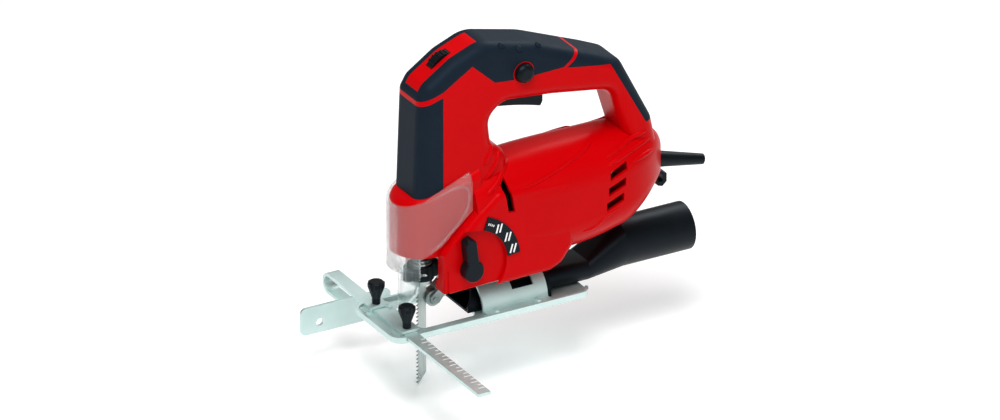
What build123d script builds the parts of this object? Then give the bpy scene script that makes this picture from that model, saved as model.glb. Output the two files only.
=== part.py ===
"""Corded jigsaw with a D-handle: housing, motor, gear, plunger, tilting sole and rip guide.

Millimetres. +X runs to the rear of the tool, +Y to its right side and +Z up.
The origin is where the blade's centre line crosses the underside of the sole.
"""

import os
from math import asin, cos, radians, sin

from build123d import *

os.makedirs("parts", exist_ok=True)

# Clearances
running = 0.05
slide_gap = 0.35
seat_gap = 0.3

# Sole, a pressed steel plate with a raised rim
sole_front = -38.0
sole_length = 159.0
sole_width = 63.0
sheet = 2.0
rim_height = 5.0
sole_corner = 9.0
window_front = -11.0
window_length = 45.0
window_width = 40.0

# Bevel saddle, a half pipe about the tilt axis
bevel_axis_z = 2.0
saddle_front = 38.0
saddle_length = 52.0
saddle_radius = 22.0
saddle_flange = 29.0
bevel_slot_start = 63.0
bevel_slot_width = 17.0
bevel_slot_half_angle = 57.0

# Rip guide and its clamps
bar_x = -23.5
bar_width = 10.0
bar_thickness = 2.5
bar_near_end = -132.0
bar_far_end = 91.0
bar_drop = 16.0
fence_y = 66.0
fence_length = 72.0
fence_height = 21.0
fence_hole_radius = 2.8
fence_hole_spacing = 42.0
bridge_y = 22.0
bridge_width = 9.0
bridge_foot = 3.5
knob_radius = 6.2
knob_height = 17.0
knob_flutes = 5
knob_flute_radius = 2.2
thumb_thread_radius = 2.5

# Dust adapter
duct_radius = 15.8
duct_wall = 1.6
mouth_reach = 9.0
hose_radius = 17.5
hose_bore_radius = 15.6
hose_axis_z = 20.0
neck_end = 128.0
neck_height = 15.0
hose_start = 158.0
hose_end = 213.0

# Blade, clamp, plunger and stroke
blade_width = 7.6
blade_thickness = 1.3
blade_tip_z = -53.5
blade_tooth_top_z = 21.0
blade_top_z = 42.0
tooth_pitch = 3.0
tooth_depth = 1.6
plunger_radius = 4.0
plunger_top_z = 132.0
clamp_bottom_z = 28.0
clamp_top_z = 46.0
clamp_radius = 6.5
ring_bottom_z = 31.5
ring_height = 11.0
ring_radius = 9.5
wing_reach = 13.5
crank_radius = 9.0
stroke_above_bottom = 5.0

# Guide roller and its swinging arm
roller_z = 14.0
roller_radius = 6.0
roller_width = 7.0
roller_groove = 1.6
roller_pin_radius = 1.5
arm_pivot_x = 18.0
arm_pivot_z = 63.5
arm_cheek = 1.8
arm_pin_radius = 2.0

# Motor and gear train
motor_axis_z = 78.0
shaft_radius = 4.0
gear_module = 0.75
pinion_teeth = 8
gear_teeth = 48
gear_front = 11.0
gear_width = 7.0
gear_axle_radius = 3.0
bearing_radius = 11.0
bearing_width = 7.0
front_bearing_x = 27.0
rear_bearing_x = 150.0
fan_x = 44.0
fan_radius = 25.0
fan_width = 10.0
fan_blades = 12
core_x = 70.0
core_length = 38.0
core_radius = 17.0
core_slots = 12
stator_radius = 27.0
stator_bore = 17.7
commutator_x = 122.0
commutator_length = 13.0
commutator_radius = 10.0
brush_size = 6.0

# Housing, wall and grips
wall = 2.6
grip_skin = 2.0
ring_half_width = 19.0
ring_edge = 9.0
barrel_half_width = 32.0
skirt_half_width = 31.0
skirt_bottom_z = 25.0
nose_radius = 22.0
nose_bottom_z = 56.0
nose_shoulder = 7.0
guard_gap = 0.3
guard_wall = 2.0
guard_rear = 28.0

# Controls
dial_x = 19.5
dial_z = 188.0
dial_radius = 13.2
dial_width = 8.0
dial_axle_radius = 2.0
trigger_front = 53.0
trigger_length = 40.0
trigger_width = 17.0
trigger_bottom_z = 145.5
trigger_travel = 5.0
lock_x = 72.0
lock_z = 180.5
lock_radius = 7.2
lock_travel = 3.0
selector_x = 23.0
selector_z = 45.5
selector_boss_radius = 7.6
selector_lever_length = 25.0
selector_recess_radius = 28.5
selector_recess_depth = 2.6
selector_shaft_radius = 2.0
selector_plate_width = 10.0

# Rear fittings
sleeve_x = 186.0
sleeve_z = 78.5
sleeve_drop_angle = 13.7
sleeve_length = 43.0
sleeve_root_radius = 6.2
sleeve_tip_radius = 3.9
sleeve_bore_radius = 3.0


def save(piece, name):
    """Label a finished piece and write it as its own STEP file."""
    piece.part.label = name
    export_step(piece.part, f"parts/{name}.step")


# Worked out from the driving dimensions
sole_middle = sole_front + sole_length / 2
sole_rear = sole_front + sole_length
bar_bottom_z = sheet + 0.2
bar_top_z = bar_bottom_z + bar_thickness
bridge_top_z = bar_top_z + seat_gap + sheet
pinion_pitch_radius = gear_module * pinion_teeth / 2
gear_pitch_radius = gear_module * gear_teeth / 2
gear_axis_z = motor_axis_z + pinion_pitch_radius + gear_pitch_radius
yoke_z = gear_axis_z - crank_radius + stroke_above_bottom
roller_x = blade_width / 2 + seat_gap + roller_radius - roller_groove
saddle_inner = saddle_radius - sheet
saddle_end = saddle_front + saddle_length
selector_pad_y = seat_gap + 2 * wall - skirt_half_width

# Sole: pressed dish with a blade window and gaps in the rim for the rip guide
with BuildPart() as base_plate:
    with BuildSketch():
        with Locations((sole_middle, 0)):
            RectangleRounded(sole_length, sole_width, sole_corner)
    extrude(amount=rim_height)
    fillet(base_plate.faces().sort_by(Axis.Z)[0].edges(), 1.2)
    with BuildSketch(Plane.XY.offset(sheet)):
        with Locations((sole_middle, 0)):
            RectangleRounded(sole_length - 2 * sheet, sole_width - 2 * sheet, sole_corner - sheet)
    extrude(amount=rim_height, mode=Mode.SUBTRACT)
    with BuildSketch():
        with Locations((window_front + window_length / 2, 0)):
            RectangleRounded(window_length, window_width, 5.0)
    extrude(amount=rim_height, mode=Mode.SUBTRACT)
    with BuildSketch(Plane.XY.offset(sheet)):
        with Locations((bar_x, 0)):
            Rectangle(bar_width + 2 * slide_gap, sole_width + sheet)
    extrude(amount=rim_height, mode=Mode.SUBTRACT)
    with BuildSketch(Plane.XY.offset(sheet)):
        with Locations((sole_rear, 0)):
            Rectangle(4 * sheet, 2 * saddle_radius + 2)
    extrude(amount=rim_height, mode=Mode.SUBTRACT)
save(base_plate, "base_plate")

# Bevel saddle: half pipe on two flanges, with a wide slot over its crown for the tilt
with BuildPart() as bevel_saddle:
    with BuildSketch(Plane.YZ.offset(saddle_front)):
        with Locations((0, bevel_axis_z)):
            Circle(saddle_radius)
        with Locations((0, bevel_axis_z + sheet / 2)):
            Rectangle(2 * saddle_flange, sheet)
        with Locations((0, bevel_axis_z)):
            Circle(saddle_inner, mode=Mode.SUBTRACT)
            Rectangle(
                4 * saddle_radius,
                2 * saddle_radius,
                align=(Align.CENTER, Align.MAX),
                mode=Mode.SUBTRACT,
            )
    extrude(amount=saddle_length)
    slot_reach = 2 * saddle_radius
    with BuildSketch(Plane.YZ.offset(bevel_slot_start)):
        with BuildLine():
            Polyline(
                (0, bevel_axis_z),
                (
                    slot_reach * sin(radians(bevel_slot_half_angle)),
                    bevel_axis_z + slot_reach * cos(radians(bevel_slot_half_angle)),
                ),
                (
                    -slot_reach * sin(radians(bevel_slot_half_angle)),
                    bevel_axis_z + slot_reach * cos(radians(bevel_slot_half_angle)),
                ),
                close=True,
            )
        make_face()
    extrude(amount=bevel_slot_width, mode=Mode.SUBTRACT)
save(bevel_saddle, "bevel_saddle")

# Saddle rivets: flat heads on the flanges
rivet_radius = 2.4
rivet_head = 1.2
with BuildPart() as saddle_rivets:
    with BuildSketch(Plane.XY.offset(bevel_axis_z + sheet)):
        with Locations((saddle_front + saddle_length / 2, 0)):
            with GridLocations(saddle_length - 18, saddle_radius + saddle_flange, 2, 2):
                Circle(rivet_radius)
    extrude(amount=rivet_head)
    fillet(saddle_rivets.faces().group_by(Axis.Z)[-1].edges(), 0.5)
save(saddle_rivets, "saddle_rivets")

# Guide bridges: pressed straps over the rip guide, each tapped for a thumb screw
bridge_inside = bar_width + 2 * slide_gap
bridge_span = bridge_inside + 2 * sheet
with BuildPart() as guide_bridges:
    for side in (-1, 1):
        with BuildSketch(Plane.XZ.offset(-side * bridge_y)):
            with Locations((bar_x, sheet)):
                Rectangle(bridge_span, bridge_top_z - sheet, align=(Align.CENTER, Align.MIN))
                Rectangle(bridge_span + 2 * bridge_foot, sheet, align=(Align.CENTER, Align.MIN))
                Rectangle(
                    bridge_inside,
                    bridge_top_z - 2 * sheet,
                    align=(Align.CENTER, Align.MIN),
                    mode=Mode.SUBTRACT,
                )
        extrude(amount=bridge_width / 2, both=True)
    with Locations((bar_x, bridge_y, bridge_top_z), (bar_x, -bridge_y, bridge_top_z)):
        Hole(thumb_thread_radius + running, depth=2 * sheet)
save(guide_bridges, "guide_bridges")


def thumb_screw(y):
    """A flared, fluted plastic knob on a steel screw that bears on the rip guide."""
    foot = bridge_top_z + seat_gap
    with BuildPart() as screw:
        with BuildSketch(Plane.XZ.offset(-y)):
            with BuildLine():
                Polyline(
                    (bar_x, foot + knob_height),
                    (bar_x, bar_top_z + seat_gap),
                    (bar_x + thumb_thread_radius, bar_top_z + seat_gap),
                    (bar_x + thumb_thread_radius, foot),
                    (bar_x + 0.48 * knob_radius, foot),
                    (bar_x + 0.5 * knob_radius, foot + 0.25 * knob_height),
                    (bar_x + knob_radius, foot + 0.78 * knob_height),
                    (bar_x + knob_radius, foot + 0.94 * knob_height),
                    (bar_x + 0.75 * knob_radius, foot + knob_height),
                    close=True,
                )
            make_face()
        revolve(axis=Axis((bar_x, y, 0), (0, 0, 1)))
        with BuildSketch(Plane.XY.offset(foot + 0.2 * knob_height)):
            with Locations((bar_x, y)):
                with PolarLocations(knob_radius + 0.5 * knob_flute_radius, knob_flutes):
                    Circle(knob_flute_radius)
        extrude(amount=knob_height, mode=Mode.SUBTRACT)
    return screw


save(thumb_screw(-bridge_y), "thumb_screw_left")
save(thumb_screw(bridge_y), "thumb_screw_right")

# Rip guide: flat bar, bent under itself at the far end, with a T-shaped fence turned down
bend = bar_drop / 2
with BuildPart() as rip_guide:
    with BuildSketch(Plane.YZ.offset(bar_x)):
        with BuildLine() as guide_line:
            start = Line((bar_near_end, bar_top_z), (bar_far_end - bend, bar_top_z))
            turn = JernArc(start=start @ 1, tangent=start % 1, radius=bend, arc_size=-180)
            Line(turn @ 1, (fence_y + sheet / 2, bar_top_z - bar_drop))
            offset(amount=-bar_thickness, side=Side.RIGHT)
        make_face()
    extrude(amount=bar_width / 2, both=True)
    with BuildSketch(Plane.XZ.offset(-fence_y)):
        with Locations((bar_x, bar_top_z - bar_drop + bar_thickness)):
            RectangleRounded(
                fence_length, fence_height, 4.0, align=(Align.CENTER, Align.MAX)
            )
        with Locations((bar_x, bar_top_z - bar_drop - fence_height / 2)):
            with GridLocations(fence_hole_spacing, 1, 2, 1):
                Circle(fence_hole_radius, mode=Mode.SUBTRACT)
    extrude(amount=-sheet)
save(rip_guide, "rip_guide")

# Dust adapter: half-round duct in the saddle, a stop flange, a neck and a round hose socket
duct_floor_z = sheet + 0.4
flange_x = saddle_end + seat_gap
flange_thickness = 3.0
neck_wall = 1.9
with BuildPart() as dust_adapter:
    with BuildSketch(Plane.YZ.offset(saddle_front - mouth_reach)):
        with Locations((0, bevel_axis_z)):
            Circle(duct_radius)
        with Locations((0, duct_floor_z)):
            Rectangle(3 * duct_radius, 2 * duct_radius, align=(Align.CENTER, Align.MAX), mode=Mode.SUBTRACT)
    extrude(amount=flange_x - saddle_front + mouth_reach + flange_thickness)
    with BuildSketch(Plane.YZ.offset(flange_x)):
        with Locations((0, bevel_axis_z)):
            Circle(saddle_radius - 0.8)
        with Locations((0, duct_floor_z)):
            Rectangle(
                3 * saddle_radius,
                2 * saddle_radius,
                align=(Align.CENTER, Align.MAX),
                mode=Mode.SUBTRACT,
            )
    extrude(amount=flange_thickness)
    neck_x = flange_x + flange_thickness
    with BuildSketch(Plane.YZ.offset(neck_x)):
        with Locations((0, duct_floor_z)):
            RectangleRounded(2 * duct_radius, neck_height, 7.0, align=(Align.CENTER, Align.MIN))
    extrude(amount=neck_end - neck_x)
    with BuildSketch(Plane.YZ.offset(neck_end)):
        with Locations((0, duct_floor_z)):
            RectangleRounded(2 * duct_radius, neck_height, 7.0, align=(Align.CENTER, Align.MIN))
    with BuildSketch(Plane.YZ.offset(hose_start)):
        with Locations((0, hose_axis_z)):
            RectangleRounded(2 * hose_radius, 2 * hose_radius, hose_radius - 0.02)
    loft()
    with BuildSketch(Plane.YZ.offset(hose_start)):
        with Locations((0, hose_axis_z)):
            Circle(hose_radius)
    extrude(amount=hose_end - hose_start)
    with BuildSketch(Plane.YZ.offset(saddle_front - mouth_reach)):
        with Locations((0, bevel_axis_z)):
            Circle(duct_radius - duct_wall)
        with Locations((0, duct_floor_z + duct_wall)):
            Rectangle(3 * duct_radius, 2 * duct_radius, align=(Align.CENTER, Align.MAX), mode=Mode.SUBTRACT)
    extrude(amount=neck_x - saddle_front + mouth_reach - 2.0, mode=Mode.SUBTRACT)
    neck_bore_width = 2 * (duct_radius - neck_wall - 1.2)
    neck_bore_height = neck_height - 2 * neck_wall
    with BuildSketch(Plane.YZ.offset(neck_x - 2.0)):
        with Locations((0, duct_floor_z + neck_wall)):
            RectangleRounded(neck_bore_width, neck_bore_height, 5.0, align=(Align.CENTER, Align.MIN))
    extrude(amount=neck_end + 4.0 - neck_x, mode=Mode.SUBTRACT)
    with BuildSketch(Plane.YZ.offset(neck_end + 2.0)):
        with Locations((0, duct_floor_z + neck_wall)):
            RectangleRounded(neck_bore_width, neck_bore_height, 5.0, align=(Align.CENTER, Align.MIN))
    with BuildSketch(Plane.YZ.offset(hose_start + 6.0)):
        with Locations((0, hose_axis_z)):
            RectangleRounded(2 * hose_bore_radius, 2 * hose_bore_radius, hose_bore_radius - 0.02)
    loft(mode=Mode.SUBTRACT)
    with BuildSketch(Plane.YZ.offset(hose_start + 6.0)):
        with Locations((0, hose_axis_z)):
            Circle(hose_bore_radius)
    extrude(amount=hose_end, mode=Mode.SUBTRACT)
    mouth_corner = (saddle_front - mouth_reach, 0, duct_floor_z + 4.0)
    mouth_plane = Plane(mouth_corner, x_dir=(0, 1, 0), z_dir=(-1, 0, 0.75))
    split(bisect_by=mouth_plane, keep=Keep.BOTTOM)
save(dust_adapter, "dust_adapter")

# Bevel clamp: a curved plate inside the saddle and the screw that draws it to the gear case
clamp_plate_thickness = 1.4
clamp_plate_half_angle = 14.0
bevel_screw_radius = 3.0
bevel_screw_x = bevel_slot_start + bevel_slot_width / 2
bevel_screw_top_z = 34.0
bevel_head_height = 1.4
plate_outer = saddle_inner - seat_gap
plate_inner = plate_outer - clamp_plate_thickness
with BuildPart() as bevel_clamp_plate:
    with BuildSketch(Plane.YZ.offset(bevel_slot_start - 2.5)):
        with BuildLine():
            reach = 2 * plate_outer
            Polyline(
                (0, bevel_axis_z),
                (reach * sin(radians(clamp_plate_half_angle)), bevel_axis_z + reach),
                (-reach * sin(radians(clamp_plate_half_angle)), bevel_axis_z + reach),
                close=True,
            )
        make_face()
        with Locations((0, bevel_axis_z)):
            Circle(plate_outer, mode=Mode.INTERSECT)
            Circle(plate_inner, mode=Mode.SUBTRACT)
    extrude(amount=bevel_slot_width + 5.0)
    with Locations((bevel_screw_x, 0, bevel_axis_z + plate_outer)):
        Hole(bevel_screw_radius, depth=3 * clamp_plate_thickness)
save(bevel_clamp_plate, "bevel_clamp_plate")

with BuildPart() as bevel_screw:
    head_z = bevel_axis_z + plate_inner * cos(asin(5.0 / plate_inner)) - bevel_head_height
    with BuildSketch(Plane.XY.offset(head_z)):
        with Locations((bevel_screw_x, 0)):
            Circle(5.0)
    extrude(amount=bevel_head_height)
    with BuildSketch(Plane.XY.offset(head_z)):
        with Locations((bevel_screw_x, 0)):
            Circle(bevel_screw_radius)
    extrude(amount=bevel_screw_top_z - head_z)
    with BuildSketch(Plane.XY.offset(head_z)):
        with Locations((bevel_screw_x, 0)):
            RegularPolygon(2.3, 6)
    extrude(amount=bevel_head_height, mode=Mode.SUBTRACT)
save(bevel_screw, "bevel_screw")

# Saw blade: toothed front edge, slanted tip and a T-shaped tang
blade_half = blade_width / 2
tooth_count = int((blade_tooth_top_z - blade_tip_z) / tooth_pitch)
tang_half = 3.0
tang_lug_half = 4.8
with BuildPart() as saw_blade:
    with BuildSketch(Plane.XZ):
        with BuildLine():
            outline = []
            for tooth in range(tooth_count):
                foot_z = blade_tip_z + tooth * tooth_pitch
                outline.append((-blade_half, foot_z))
                outline.append((tooth_depth - blade_half, foot_z + 0.75))
                outline.append((tooth_depth - blade_half, foot_z + 1.5))
            outline.append((-blade_half, blade_tip_z + tooth_count * tooth_pitch))
            outline.append((-blade_half, clamp_bottom_z - 2))
            outline.append((-tang_half, clamp_bottom_z))
            outline.append((-tang_half, clamp_bottom_z + 5))
            outline.append((-tang_lug_half, clamp_bottom_z + 5))
            outline.append((-tang_lug_half, clamp_bottom_z + 8))
            outline.append((-tang_half, clamp_bottom_z + 8))
            outline.append((-tang_half, blade_top_z))
            outline += [(tang_half, blade_top_z), (tang_half, clamp_bottom_z + 8)]
            outline += [(tang_lug_half, clamp_bottom_z + 8), (tang_lug_half, clamp_bottom_z + 5)]
            outline += [(tang_half, clamp_bottom_z + 5), (tang_half, clamp_bottom_z)]
            outline += [(blade_half, clamp_bottom_z - 2), (blade_half, blade_tip_z + 10)]
            Polyline(*outline, close=True)
        make_face()
    extrude(amount=blade_thickness / 2, both=True)
save(saw_blade, "saw_blade")

# Blade clamp: slotted steel socket on the plunger, a winged release ring and its collar
blade_slot = blade_thickness + 0.2
with BuildPart() as clamp_body:
    with BuildSketch(Plane.XY.offset(clamp_bottom_z)):
        Circle(clamp_radius)
        Rectangle(2 * tang_lug_half + 0.4, blade_slot, mode=Mode.SUBTRACT)
    extrude(amount=blade_top_z + 0.2 - clamp_bottom_z)
    with BuildSketch(Plane.XY.offset(blade_top_z + 0.2)):
        Circle(clamp_radius)
    extrude(amount=clamp_top_z - blade_top_z - 0.2)
    with BuildSketch(Plane.XY.offset(clamp_bottom_z)):
        Circle(clamp_radius + 1.5)
        Rectangle(2 * tang_lug_half + 0.4, blade_slot, mode=Mode.SUBTRACT)
    extrude(amount=ring_bottom_z - seat_gap - clamp_bottom_z)
save(clamp_body, "clamp_body")

with BuildPart() as clamp_ring:
    with BuildSketch(Plane.XY.offset(ring_bottom_z)):
        Circle(ring_radius)
        SlotOverall(2 * wing_reach, 9.0)
        Circle(clamp_radius + running, mode=Mode.SUBTRACT)
    extrude(amount=ring_height)
    fillet(clamp_ring.faces().group_by(Axis.Z)[-1].edges().filter_by(GeomType.CIRCLE).group_by(
        SortBy.RADIUS)[0], 1.0)
save(clamp_ring, "clamp_ring")

with BuildPart() as clamp_collar:
    with BuildSketch(Plane.XY.offset(ring_bottom_z + ring_height + seat_gap)):
        Circle(clamp_radius + 1.5)
        Circle(clamp_radius, mode=Mode.SUBTRACT)
    extrude(amount=1.5)
save(clamp_collar, "clamp_collar")

# Plunger: round bar with a cross yoke for the crank pin
yoke_half_width = 13.8
yoke_end_wall = 1.5
yoke_half_height = 6.5
yoke_rear = 9.0
crank_pin_radius = 3.0
with BuildPart() as plunger:
    with BuildSketch(Plane.XY.offset(clamp_top_z)):
        Circle(plunger_radius)
    extrude(amount=plunger_top_z - clamp_top_z)
    with BuildSketch(Plane.YZ.offset(yoke_rear)):
        with Locations((0, yoke_z)):
            RectangleRounded(2 * yoke_half_width, 2 * yoke_half_height, 4.0)
            SlotOverall(
                2 * (yoke_half_width - yoke_end_wall),
                2 * crank_pin_radius + 0.6,
                mode=Mode.SUBTRACT,
            )
    extrude(amount=-(yoke_rear - 4.5))
    with BuildSketch(Plane.XY.offset(yoke_z - yoke_half_height)):
        with Locations((0, 0)):
            Rectangle(2 * 4.8, 2 * 4.8)
    extrude(amount=2 * yoke_half_height)
save(plunger, "plunger")

# Plunger bushes: sintered sleeves above and below the gear
bush_wall = 2.0
lower_bush_z = 60.0
upper_bush_z = 118.0
bush_length = 10.0


def plunger_bush(z):
    """A plain sleeve that guides the plunger."""
    with BuildPart() as bush:
        with BuildSketch(Plane.XY.offset(z)):
            Circle(plunger_radius + bush_wall)
            Circle(plunger_radius + running, mode=Mode.SUBTRACT)
        extrude(amount=bush_length)
    return bush


save(plunger_bush(lower_bush_z), "lower_bush")
save(plunger_bush(upper_bush_z), "upper_bush")

# Guide roller: grooved steel roller behind the blade
groove_half = blade_thickness / 2 + slide_gap
with BuildPart() as guide_roller:
    with BuildSketch(Plane.XY.offset(roller_z)):
        with BuildLine():
            Polyline(
                (roller_x, -roller_width / 2),
                (roller_x + roller_radius, -roller_width / 2),
                (roller_x + roller_radius, -groove_half - 1.0),
                (roller_x + roller_radius - roller_groove, -groove_half),
                (roller_x + roller_radius - roller_groove, groove_half),
                (roller_x + roller_radius, groove_half + 1.0),
                (roller_x + roller_radius, roller_width / 2),
                (roller_x, roller_width / 2),
                close=True,
            )
        make_face()
    revolve(axis=Axis((roller_x, 0, roller_z), (0, 1, 0)))
    with BuildSketch(Plane.XZ):
        with Locations((roller_x, roller_z)):
            Circle(roller_pin_radius + running)
    extrude(amount=roller_width, both=True, mode=Mode.SUBTRACT)
save(guide_roller, "guide_roller")

# Roller arm: two cheeks and a web, hung from a pin in the gear case
cheek_inner = roller_width / 2 + seat_gap
cheek_outer = cheek_inner + arm_cheek
stem_front = wing_reach + 2.2
stem_depth = 4.0
with BuildPart() as roller_arm:
    with BuildSketch(Plane.XZ):
        with BuildLine():
            Polyline(
                (stem_front, arm_pivot_z + 4),
                (stem_front, roller_z + 11),
                (roller_x - 3.2, roller_z + 2),
                (roller_x - 2.4, roller_z - 3.4),
                (roller_x + 3.2, roller_z - 3.4),
                (stem_front + stem_depth, roller_z + 7),
                (stem_front + stem_depth, arm_pivot_z + 4),
                close=True,
            )
        make_face()
        with Locations((roller_x, roller_z)):
            Circle(roller_pin_radius, mode=Mode.SUBTRACT)
        with Locations((arm_pivot_x, arm_pivot_z)):
            Circle(arm_pin_radius + running, mode=Mode.SUBTRACT)
    extrude(amount=cheek_outer, both=True)
    with BuildSketch(Plane.XZ):
        with Locations((roller_x, roller_z)):
            Circle(roller_radius + 1.0)
        Rectangle(2 * roller_x, 2 * (roller_z + 12), align=(Align.CENTER, Align.CENTER))
    extrude(amount=cheek_inner, both=True, mode=Mode.SUBTRACT)
save(roller_arm, "roller_arm")


def cross_pin(x, z, radius, half_length):
    """A plain steel pin along the tool's width."""
    with BuildPart() as pin:
        with BuildSketch(Plane.XZ):
            with Locations((x, z)):
                Circle(radius)
        extrude(amount=half_length, both=True)
    return pin


case_half_width = 13.0
save(cross_pin(roller_x, roller_z, roller_pin_radius, cheek_outer + 0.6), "roller_pin")
save(cross_pin(arm_pivot_x, arm_pivot_z, arm_pin_radius, case_half_width - 1.0), "arm_pivot_pin")

# Gear case: die-cast bulkhead with plunger arms, bearing boss and the seat on the saddle
bulkhead_x = 20.0
bulkhead_thickness = 6.0
boss_wall = 3.0
seat_radius = saddle_radius + seat_gap
seat_rear = saddle_end - 2.0
seat_front = saddle_front + 2.0
seat_top_z = 40.0
case_floor_z = 30.0
arm_slot = cheek_outer + slide_gap
with BuildPart() as gear_case:
    with BuildSketch(Plane.YZ.offset(bulkhead_x)):
        with Locations((0, case_floor_z)):
            Rectangle(2 * (skirt_half_width - wall - seat_gap), 36, align=(Align.CENTER, Align.MIN))
            Rectangle(2 * (nose_radius - wall - 1.2), 72, align=(Align.CENTER, Align.MIN))
            Rectangle(2 * case_half_width, 100, align=(Align.CENTER, Align.MIN))
    extrude(amount=bulkhead_thickness)
    with BuildSketch(Plane.XY.offset(lower_bush_z)):
        with Locations((bulkhead_x, 0)):
            SlotCenterToCenter(2 * bulkhead_x, 2 * case_half_width)
    extrude(amount=bush_length)
    with BuildSketch(Plane.XY.offset(upper_bush_z)):
        with Locations((bulkhead_x, 0)):
            SlotCenterToCenter(2 * bulkhead_x, 2 * (plunger_radius + bush_wall + 0.6))
    extrude(amount=bush_length)
    with Locations((bulkhead_x + bulkhead_thickness, 0, case_floor_z)):
        Box(60, 100, 200, align=(Align.MIN, Align.CENTER, Align.MIN), mode=Mode.SUBTRACT)
    with BuildSketch(Plane.YZ.offset(bulkhead_x)):
        with Locations((0, motor_axis_z)):
            Circle(bearing_radius + boss_wall)
    extrude(amount=front_bearing_x + bearing_width - bulkhead_x)
    with BuildSketch(Plane.XZ):
        with BuildLine():
            Polyline(
                (bulkhead_x, seat_top_z + 20),
                (bulkhead_x, case_floor_z),
                (seat_front, case_floor_z),
                (seat_front, bevel_axis_z + 10),
                (seat_rear, bevel_axis_z + 10),
                (seat_rear, seat_top_z),
                (bulkhead_x + 16, seat_top_z),
                close=True,
            )
        make_face()
    extrude(amount=case_half_width, both=True)
    with BuildSketch(Plane.YZ.offset(seat_front)):
        with Locations((0, bevel_axis_z)):
            Circle(seat_radius)
    extrude(amount=seat_rear, mode=Mode.SUBTRACT)
    with BuildSketch(Plane.YZ.offset(front_bearing_x)):
        with Locations((0, motor_axis_z)):
            Circle(bearing_radius)
    extrude(amount=bearing_width, mode=Mode.SUBTRACT)
    with BuildSketch(Plane.YZ.offset(bulkhead_x)):
        with Locations((0, motor_axis_z)):
            Circle(shaft_radius + 1.0)
        with Locations((0, gear_axis_z)):
            Circle(gear_axle_radius)
    extrude(amount=bulkhead_thickness + 2, mode=Mode.SUBTRACT)
    with BuildSketch(Plane.XY.offset(lower_bush_z)):
        Circle(plunger_radius + bush_wall)
    extrude(amount=upper_bush_z + bush_length - lower_bush_z, mode=Mode.SUBTRACT)
    with Locations((stem_front - 1.0, 0, case_floor_z - 1)):
        Box(
            stem_depth + 4.0,
            2 * arm_slot,
            51,
            align=(Align.MIN, Align.CENTER, Align.MIN),
            mode=Mode.SUBTRACT,
        )
    with Locations((0, selector_pad_y, case_floor_z)):
        Box(100, 20, 60, align=(Align.MIN, Align.MAX, Align.MIN), mode=Mode.SUBTRACT)
    with BuildSketch(Plane.XZ.offset(arm_slot - 1.0)):
        with Locations((selector_x, selector_z)):
            Circle(selector_shaft_radius + running)
    extrude(amount=skirt_half_width, mode=Mode.SUBTRACT)
    with BuildSketch(Plane.XZ):
        with Locations((arm_pivot_x, arm_pivot_z)):
            Circle(arm_pin_radius)
    extrude(amount=case_half_width, both=True, mode=Mode.SUBTRACT)
    with Locations((bevel_screw_x, 0, bevel_axis_z + seat_radius)):
        Cylinder(
            bevel_screw_radius,
            2 * (bevel_screw_top_z - bevel_axis_z - seat_radius),
            mode=Mode.SUBTRACT,
        )
save(gear_case, "gear_case")


def toothed_wheel(x, z, teeth, width, half_step):
    """A spur wheel sketch extruded along X: a root disc with tapered teeth around it."""
    pitch_radius = gear_module * teeth / 2
    root = pitch_radius - 1.25 * gear_module
    tip = pitch_radius + 0.9 * gear_module
    root_half = 0.86 * gear_module
    tip_half = 0.34 * gear_module
    with BuildPart() as wheel:
        with BuildSketch(Plane.YZ.offset(x)):
            with Locations((0, z)):
                Circle(root)
                with PolarLocations(0, teeth, start_angle=half_step * 180 / teeth):
                    Polygon(
                        (root - 0.3, -root_half),
                        (tip, -tip_half),
                        (tip, tip_half),
                        (root - 0.3, root_half),
                        align=None,
                    )
        extrude(amount=width)
    return wheel.part


# Drive gear: spur wheel on its axle, with a crank pin that stops short of the yoke
crank_angle = asin((stroke_above_bottom - crank_radius) / crank_radius)
gear_form = toothed_wheel(gear_front, gear_axis_z, gear_teeth, gear_width, 1)
with BuildPart() as drive_gear:
    add(gear_form)
    with BuildSketch(Plane.YZ.offset(gear_front)):
        with Locations((crank_radius * cos(crank_angle), gear_axis_z + crank_radius * sin(crank_angle))):
            Circle(crank_pin_radius)
    extrude(amount=-(gear_front - yoke_rear - seat_gap))
    with BuildSketch(Plane.YZ.offset(gear_front)):
        with Locations((0, gear_axis_z)):
            Circle(gear_axle_radius + running)
            with PolarLocations(11.0, 6, start_angle=30):
                Circle(2.6)
    extrude(amount=gear_width, mode=Mode.SUBTRACT)
save(drive_gear, "drive_gear")

with BuildPart() as gear_axle:
    with BuildSketch(Plane.YZ.offset(gear_front + 0.2)):
        with Locations((0, gear_axis_z)):
            Circle(gear_axle_radius)
    extrude(amount=bulkhead_x + bulkhead_thickness - gear_front - 0.2)
save(gear_axle, "gear_axle")

# Armature: shaft with its pinion, slotted core, commutator and fan
pinion_form = toothed_wheel(gear_front, motor_axis_z, pinion_teeth, gear_width, 0)
with BuildPart() as armature_shaft:
    add(pinion_form)
    with BuildSketch(Plane.YZ.offset(gear_front + gear_width)):
        with Locations((0, motor_axis_z)):
            Circle(shaft_radius)
    extrude(amount=rear_bearing_x + bearing_width - gear_front - gear_width)
save(armature_shaft, "armature_shaft")

with BuildPart() as armature_core:
    with BuildSketch(Plane.YZ.offset(core_x)):
        with Locations((0, motor_axis_z)):
            Circle(core_radius)
            with PolarLocations(core_radius - 2.5, core_slots):
                SlotOverall(6.0, 2.2, mode=Mode.SUBTRACT)
            Circle(shaft_radius, mode=Mode.SUBTRACT)
    extrude(amount=core_length)
    with BuildSketch(Plane.YZ.offset(core_x - 6)):
        with Locations((0, motor_axis_z)):
            Circle(core_radius - 4)
            Circle(shaft_radius, mode=Mode.SUBTRACT)
    extrude(amount=core_length + 12)
save(armature_core, "armature_core")

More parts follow.
